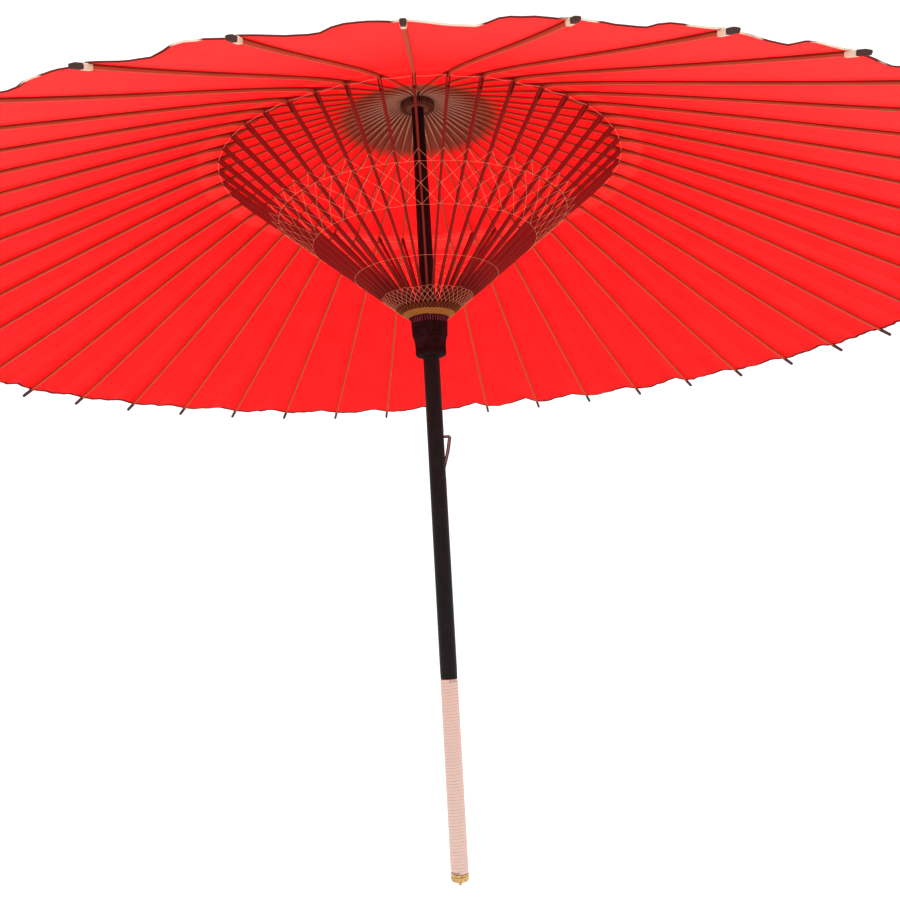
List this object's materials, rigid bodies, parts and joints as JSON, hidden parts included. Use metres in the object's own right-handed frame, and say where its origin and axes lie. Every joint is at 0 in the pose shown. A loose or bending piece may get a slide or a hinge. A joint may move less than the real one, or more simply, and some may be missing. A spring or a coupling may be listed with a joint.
{
  "type": "oil paper umbrella",
  "caption": "Open oiled-paper umbrella: straight lacquered shaft with a wound cane grip, sliding slotted runner, folding bamboo ribs and stretchers under a shallow conical red paper canopy.",
  "frame": {"origin": "on the shaft's axis at the middle of the hand grip, where a hand holds the umbrella", "axes": "+Z along the shaft towards the canopy, +X towards the lower spring catch, +Y towards the upper spring catch"},
  "size_m": [1.1314, 1.1314, 0.813],
  "materials": {
    "black_lacquer": "black-brown lacquer, satin gloss",
    "cane": "split cane wound round the grip, satin",
    "brass": "aged brass, satin",
    "bamboo": "split bamboo, oiled, satin",
    "red_lacquer_bamboo": "crimson lacquered bamboo, satin gloss",
    "bamboo_spring": "split bamboo, satin",
    "thread": "twisted cotton thread, matte",
    "oiled_paper": "oiled paper, translucent, soft sheen",
    "crown_paper": "lacquered paper, dark, satin"
  },
  "bodies": {
    "shaft": {"shaft": "black_lacquer", "grip_wrap": "cane", "end_cap": "brass", "top_hub": "black_lacquer", "top_hub_thread": "thread", "ceiling_paper": "oiled_paper", "canopy_paper": "oiled_paper", "crown_cap": "crown_paper", "knuckle_thread": "thread"},
    "runner": {"runner": "black_lacquer", "stretcher_cage": "red_lacquer_bamboo", "waist_thread": "thread", "ring_thread": "thread", "zigzag_thread": "thread"},
    "lower_catch": {"lower_catch": "bamboo_spring"},
    "upper_catch": {"upper_catch": "bamboo_spring"},
    "rib_01": {"rib_01": "bamboo"},
    "rib_02": {"rib_02": "bamboo"},
    "rib_03": {"rib_03": "bamboo"},
    "rib_04": {"rib_04": "bamboo"},
    "rib_05": {"rib_05": "bamboo"},
    "rib_06": {"rib_06": "bamboo"},
    "rib_07": {"rib_07": "bamboo"},
    "rib_08": {"rib_08": "bamboo"},
    "rib_09": {"rib_09": "bamboo"},
    "rib_10": {"rib_10": "bamboo"},
    "rib_11": {"rib_11": "bamboo"},
    "rib_12": {"rib_12": "bamboo"},
    "rib_13": {"rib_13": "bamboo"},
    "rib_14": {"rib_14": "bamboo"},
    "rib_15": {"rib_15": "bamboo"},
    "rib_16": {"rib_16": "bamboo"},
    "rib_17": {"rib_17": "bamboo"},
    "rib_18": {"rib_18": "bamboo"},
    "rib_19": {"rib_19": "bamboo"},
    "rib_20": {"rib_20": "bamboo"},
    "rib_21": {"rib_21": "bamboo"},
    "rib_22": {"rib_22": "bamboo"},
    "rib_23": {"rib_23": "bamboo"},
    "rib_24": {"rib_24": "bamboo"},
    "rib_25": {"rib_25": "bamboo"},
    "rib_26": {"rib_26": "bamboo"},
    "rib_27": {"rib_27": "bamboo"},
    "rib_28": {"rib_28": "bamboo"},
    "rib_29": {"rib_29": "bamboo"},
    "rib_30": {"rib_30": "bamboo"},
    "rib_31": {"rib_31": "bamboo"},
    "rib_32": {"rib_32": "bamboo"},
    "rib_33": {"rib_33": "bamboo"},
    "rib_34": {"rib_34": "bamboo"},
    "rib_35": {"rib_35": "bamboo"},
    "rib_36": {"rib_36": "bamboo"},
    "rib_37": {"rib_37": "bamboo"},
    "rib_38": {"rib_38": "bamboo"},
    "rib_39": {"rib_39": "bamboo"},
    "rib_40": {"rib_40": "bamboo"},
    "rib_41": {"rib_41": "bamboo"},
    "rib_42": {"rib_42": "bamboo"},
    "rib_43": {"rib_43": "bamboo"},
    "rib_44": {"rib_44": "bamboo"}
  },
  "joints": [
    {"name": "runner_slide", "type": "slide", "parent": "shaft", "child": "runner", "axis": [0, 0, -1], "range_m": [0, 0.2184], "deforming": ["ceiling_paper", "canopy_paper", "crown_cap", "knuckle_thread", "stretcher_cage", "waist_thread", "ring_thread", "zigzag_thread", "lower_catch", "upper_catch"]},
    {"name": "rib_01_fold", "type": "hinge", "parent": "shaft", "child": "rib_01", "pos_m": [-0.00012, -0.015, 0.685], "axis": [1, -0.008, 0], "range_deg": [0, 63.5]},
    {"name": "rib_02_fold", "type": "hinge", "parent": "shaft", "child": "rib_02", "pos_m": [0.00201, -0.01486, 0.685], "axis": [0.9909, 0.1344, 0], "range_deg": [0, 63.5]},
    {"name": "rib_03_fold", "type": "hinge", "parent": "shaft", "child": "rib_03", "pos_m": [0.00411, -0.01443, 0.685], "axis": [0.9617, 0.274, 0], "range_deg": [0, 63.5]},
    {"name": "rib_04_fold", "type": "hinge", "parent": "shaft", "child": "rib_04", "pos_m": [0.00612, -0.01369, 0.685], "axis": [0.9129, 0.4081, 0], "range_deg": [0, 63.5]},
    {"name": "rib_05_fold", "type": "hinge", "parent": "shaft", "child": "rib_05", "pos_m": [0.00801, -0.01268, 0.685], "axis": [0.8456, 0.5339, 0], "range_deg": [0, 63.5]},
    {"name": "rib_06_fold", "type": "hinge", "parent": "shaft", "child": "rib_06", "pos_m": [0.00973, -0.01141, 0.685], "axis": [0.761, 0.6488, 0], "range_deg": [0, 63.5]},
    {"name": "rib_07_fold", "type": "hinge", "parent": "shaft", "child": "rib_07", "pos_m": [0.01126, -0.00991, 0.685], "axis": [0.6609, 0.7505, 0], "range_deg": [0, 63.5]},
    {"name": "rib_08_fold", "type": "hinge", "parent": "shaft", "child": "rib_08", "pos_m": [0.01255, -0.00821, 0.685], "axis": [0.5474, 0.8369, 0], "range_deg": [0, 63.5]},
    {"name": "rib_09_fold", "type": "hinge", "parent": "shaft", "child": "rib_09", "pos_m": [0.01359, -0.00634, 0.685], "axis": [0.4227, 0.9063, 0], "range_deg": [0, 63.5]},
    {"name": "rib_10_fold", "type": "hinge", "parent": "shaft", "child": "rib_10", "pos_m": [0.01436, -0.00434, 0.685], "axis": [0.2894, 0.9572, 0], "range_deg": [0, 63.5]},
    {"name": "rib_11_fold", "type": "hinge", "parent": "shaft", "child": "rib_11", "pos_m": [0.01483, -0.00225, 0.685], "axis": [0.1503, 0.9886, 0], "range_deg": [0, 63.5]},
    {"name": "rib_12_fold", "type": "hinge", "parent": "shaft", "child": "rib_12", "pos_m": [0.015, -0.00012, 0.685], "axis": [0.008, 1, 0], "range_deg": [0, 63.5]},
    {"name": "rib_13_fold", "type": "hinge", "parent": "shaft", "child": "rib_13", "pos_m": [0.01486, 0.00201, 0.685], "axis": [-0.1344, 0.9909, 0], "range_deg": [0, 63.5]},
    {"name": "rib_14_fold", "type": "hinge", "parent": "shaft", "child": "rib_14", "pos_m": [0.01443, 0.00411, 0.685], "axis": [-0.274, 0.9617, 0], "range_deg": [0, 63.5]},
    {"name": "rib_15_fold", "type": "hinge", "parent": "shaft", "child": "rib_15", "pos_m": [0.01369, 0.00612, 0.685], "axis": [-0.4081, 0.9129, 0], "range_deg": [0, 63.5]},
    {"name": "rib_16_fold", "type": "hinge", "parent": "shaft", "child": "rib_16", "pos_m": [0.01268, 0.00801, 0.685], "axis": [-0.5339, 0.8456, 0], "range_deg": [0, 63.5]},
    {"name": "rib_17_fold", "type": "hinge", "parent": "shaft", "child": "rib_17", "pos_m": [0.01141, 0.00973, 0.685], "axis": [-0.6488, 0.761, 0], "range_deg": [0, 63.5]},
    {"name": "rib_18_fold", "type": "hinge", "parent": "shaft", "child": "rib_18", "pos_m": [0.00991, 0.01126, 0.685], "axis": [-0.7505, 0.6609, 0], "range_deg": [0, 63.5]},
    {"name": "rib_19_fold", "type": "hinge", "parent": "shaft", "child": "rib_19", "pos_m": [0.00821, 0.01255, 0.685], "axis": [-0.8369, 0.5474, 0], "range_deg": [0, 63.5]},
    {"name": "rib_20_fold", "type": "hinge", "parent": "shaft", "child": "rib_20", "pos_m": [0.00634, 0.01359, 0.685], "axis": [-0.9063, 0.4227, 0], "range_deg": [0, 63.5]},
    {"name": "rib_21_fold", "type": "hinge", "parent": "shaft", "child": "rib_21", "pos_m": [0.00434, 0.01436, 0.685], "axis": [-0.9572, 0.2894, 0], "range_deg": [0, 63.5]},
    {"name": "rib_22_fold", "type": "hinge", "parent": "shaft", "child": "rib_22", "pos_m": [0.00225, 0.01483, 0.685], "axis": [-0.9886, 0.1503, 0], "range_deg": [0, 63.5]},
    {"name": "rib_23_fold", "type": "hinge", "parent": "shaft", "child": "rib_23", "pos_m": [0.00012, 0.015, 0.685], "axis": [-1, 0.008, 0], "range_deg": [0, 63.5]},
    {"name": "rib_24_fold", "type": "hinge", "parent": "shaft", "child": "rib_24", "pos_m": [-0.00201, 0.01486, 0.685], "axis": [-0.9909, -0.1344, 0], "range_deg": [0, 63.5]},
    {"name": "rib_25_fold", "type": "hinge", "parent": "shaft", "child": "rib_25", "pos_m": [-0.00411, 0.01443, 0.685], "axis": [-0.9617, -0.274, 0], "range_deg": [0, 63.5]},
    {"name": "rib_26_fold", "type": "hinge", "parent": "shaft", "child": "rib_26", "pos_m": [-0.00612, 0.01369, 0.685], "axis": [-0.9129, -0.4081, 0], "range_deg": [0, 63.5]},
    {"name": "rib_27_fold", "type": "hinge", "parent": "shaft", "child": "rib_27", "pos_m": [-0.00801, 0.01268, 0.685], "axis": [-0.8456, -0.5339, 0], "range_deg": [0, 63.5]},
    {"name": "rib_28_fold", "type": "hinge", "parent": "shaft", "child": "rib_28", "pos_m": [-0.00973, 0.01141, 0.685], "axis": [-0.761, -0.6488, 0], "range_deg": [0, 63.5]},
    {"name": "rib_29_fold", "type": "hinge", "parent": "shaft", "child": "rib_29", "pos_m": [-0.01126, 0.00991, 0.685], "axis": [-0.6609, -0.7505, 0], "range_deg": [0, 63.5]},
    {"name": "rib_30_fold", "type": "hinge", "parent": "shaft", "child": "rib_30", "pos_m": [-0.01255, 0.00821, 0.685], "axis": [-0.5474, -0.8369, 0], "range_deg": [0, 63.5]},
    {"name": "rib_31_fold", "type": "hinge", "parent": "shaft", "child": "rib_31", "pos_m": [-0.01359, 0.00634, 0.685], "axis": [-0.4227, -0.9063, 0], "range_deg": [0, 63.5]},
    {"name": "rib_32_fold", "type": "hinge", "parent": "shaft", "child": "rib_32", "pos_m": [-0.01436, 0.00434, 0.685], "axis": [-0.2894, -0.9572, 0], "range_deg": [0, 63.5]},
    {"name": "rib_33_fold", "type": "hinge", "parent": "shaft", "child": "rib_33", "pos_m": [-0.01483, 0.00225, 0.685], "axis": [-0.1503, -0.9886, 0], "range_deg": [0, 63.5]},
    {"name": "rib_34_fold", "type": "hinge", "parent": "shaft", "child": "rib_34", "pos_m": [-0.015, 0.00012, 0.685], "axis": [-0.008, -1, 0], "range_deg": [0, 63.5]},
    {"name": "rib_35_fold", "type": "hinge", "parent": "shaft", "child": "rib_35", "pos_m": [-0.01486, -0.00201, 0.685], "axis": [0.1344, -0.9909, 0], "range_deg": [0, 63.5]},
    {"name": "rib_36_fold", "type": "hinge", "parent": "shaft", "child": "rib_36", "pos_m": [-0.01443, -0.00411, 0.685], "axis": [0.274, -0.9617, 0], "range_deg": [0, 63.5]},
    {"name": "rib_37_fold", "type": "hinge", "parent": "shaft", "child": "rib_37", "pos_m": [-0.01369, -0.00612, 0.685], "axis": [0.4081, -0.9129, 0], "range_deg": [0, 63.5]},
    {"name": "rib_38_fold", "type": "hinge", "parent": "shaft", "child": "rib_38", "pos_m": [-0.01268, -0.00801, 0.685], "axis": [0.5339, -0.8456, 0], "range_deg": [0, 63.5]},
    {"name": "rib_39_fold", "type": "hinge", "parent": "shaft", "child": "rib_39", "pos_m": [-0.01141, -0.00973, 0.685], "axis": [0.6488, -0.761, 0], "range_deg": [0, 63.5]},
    {"name": "rib_40_fold", "type": "hinge", "parent": "shaft", "child": "rib_40", "pos_m": [-0.00991, -0.01126, 0.685], "axis": [0.7505, -0.6609, 0], "range_deg": [0, 63.5]},
    {"name": "rib_41_fold", "type": "hinge", "parent": "shaft", "child": "rib_41", "pos_m": [-0.00821, -0.01255, 0.685], "axis": [0.8369, -0.5474, 0], "range_deg": [0, 63.5]},
    {"name": "rib_42_fold", "type": "hinge", "parent": "shaft", "child": "rib_42", "pos_m": [-0.00634, -0.01359, 0.685], "axis": [0.9063, -0.4227, 0], "range_deg": [0, 63.5]},
    {"name": "rib_43_fold", "type": "hinge", "parent": "shaft", "child": "rib_43", "pos_m": [-0.00434, -0.01436, 0.685], "axis": [0.9572, -0.2894, 0], "range_deg": [0, 63.5]},
    {"name": "rib_44_fold", "type": "hinge", "parent": "shaft", "child": "rib_44", "pos_m": [-0.00225, -0.01483, 0.685], "axis": [0.9886, -0.1503, 0], "range_deg": [0, 63.5]},
    {"name": "lower_catch_press", "type": "hinge", "parent": "shaft", "child": "lower_catch", "pos_m": [0.0048, 0, 0.291], "axis": [0, -1, 0], "range_deg": [0, 10], "stiffness_Nm_per_rad": 0.5},
    {"name": "upper_catch_press", "type": "hinge", "parent": "shaft", "child": "upper_catch", "pos_m": [0, 0.0048, 0.3717], "axis": [1, 0, 0], "range_deg": [0, 10], "stiffness_Nm_per_rad": 0.5}
  ],
  "couplings": [
    {"joint": "rib_01_fold", "follows": "runner_slide", "rad_per_m": 5.0546},
    {"joint": "rib_02_fold", "follows": "runner_slide", "rad_per_m": 5.0546},
    {"joint": "rib_03_fold", "follows": "runner_slide", "rad_per_m": 5.0546},
    {"joint": "rib_04_fold", "follows": "runner_slide", "rad_per_m": 5.0546},
    {"joint": "rib_05_fold", "follows": "runner_slide", "rad_per_m": 5.0546},
    {"joint": "rib_06_fold", "follows": "runner_slide", "rad_per_m": 5.0546},
    {"joint": "rib_07_fold", "follows": "runner_slide", "rad_per_m": 5.0546},
    {"joint": "rib_08_fold", "follows": "runner_slide", "rad_per_m": 5.0546},
    {"joint": "rib_09_fold", "follows": "runner_slide", "rad_per_m": 5.0546},
    {"joint": "rib_10_fold", "follows": "runner_slide", "rad_per_m": 5.0546},
    {"joint": "rib_11_fold", "follows": "runner_slide", "rad_per_m": 5.0546},
    {"joint": "rib_12_fold", "follows": "runner_slide", "rad_per_m": 5.0546},
    {"joint": "rib_13_fold", "follows": "runner_slide", "rad_per_m": 5.0546},
    {"joint": "rib_14_fold", "follows": "runner_slide", "rad_per_m": 5.0546},
    {"joint": "rib_15_fold", "follows": "runner_slide", "rad_per_m": 5.0546},
    {"joint": "rib_16_fold", "follows": "runner_slide", "rad_per_m": 5.0546},
    {"joint": "rib_17_fold", "follows": "runner_slide", "rad_per_m": 5.0546},
    {"joint": "rib_18_fold", "follows": "runner_slide", "rad_per_m": 5.0546},
    {"joint": "rib_19_fold", "follows": "runner_slide", "rad_per_m": 5.0546},
    {"joint": "rib_20_fold", "follows": "runner_slide", "rad_per_m": 5.0546},
    {"joint": "rib_21_fold", "follows": "runner_slide", "rad_per_m": 5.0546},
    {"joint": "rib_22_fold", "follows": "runner_slide", "rad_per_m": 5.0546},
    {"joint": "rib_23_fold", "follows": "runner_slide", "rad_per_m": 5.0546},
    {"joint": "rib_24_fold", "follows": "runner_slide", "rad_per_m": 5.0546},
    {"joint": "rib_25_fold", "follows": "runner_slide", "rad_per_m": 5.0546},
    {"joint": "rib_26_fold", "follows": "runner_slide", "rad_per_m": 5.0546},
    {"joint": "rib_27_fold", "follows": "runner_slide", "rad_per_m": 5.0546},
    {"joint": "rib_28_fold", "follows": "runner_slide", "rad_per_m": 5.0546},
    {"joint": "rib_29_fold", "follows": "runner_slide", "rad_per_m": 5.0546},
    {"joint": "rib_30_fold", "follows": "runner_slide", "rad_per_m": 5.0546},
    {"joint": "rib_31_fold", "follows": "runner_slide", "rad_per_m": 5.0546},
    {"joint": "rib_32_fold", "follows": "runner_slide", "rad_per_m": 5.0546},
    {"joint": "rib_33_fold", "follows": "runner_slide", "rad_per_m": 5.0546},
    {"joint": "rib_34_fold", "follows": "runner_slide", "rad_per_m": 5.0546},
    {"joint": "rib_35_fold", "follows": "runner_slide", "rad_per_m": 5.0546},
    {"joint": "rib_36_fold", "follows": "runner_slide", "rad_per_m": 5.0546},
    {"joint": "rib_37_fold", "follows": "runner_slide", "rad_per_m": 5.0546},
    {"joint": "rib_38_fold", "follows": "runner_slide", "rad_per_m": 5.0546},
    {"joint": "rib_39_fold", "follows": "runner_slide", "rad_per_m": 5.0546},
    {"joint": "rib_40_fold", "follows": "runner_slide", "rad_per_m": 5.0546},
    {"joint": "rib_41_fold", "follows": "runner_slide", "rad_per_m": 5.0546},
    {"joint": "rib_42_fold", "follows": "runner_slide", "rad_per_m": 5.0546},
    {"joint": "rib_43_fold", "follows": "runner_slide", "rad_per_m": 5.0546},
    {"joint": "rib_44_fold", "follows": "runner_slide", "rad_per_m": 5.0546}
  ]
}
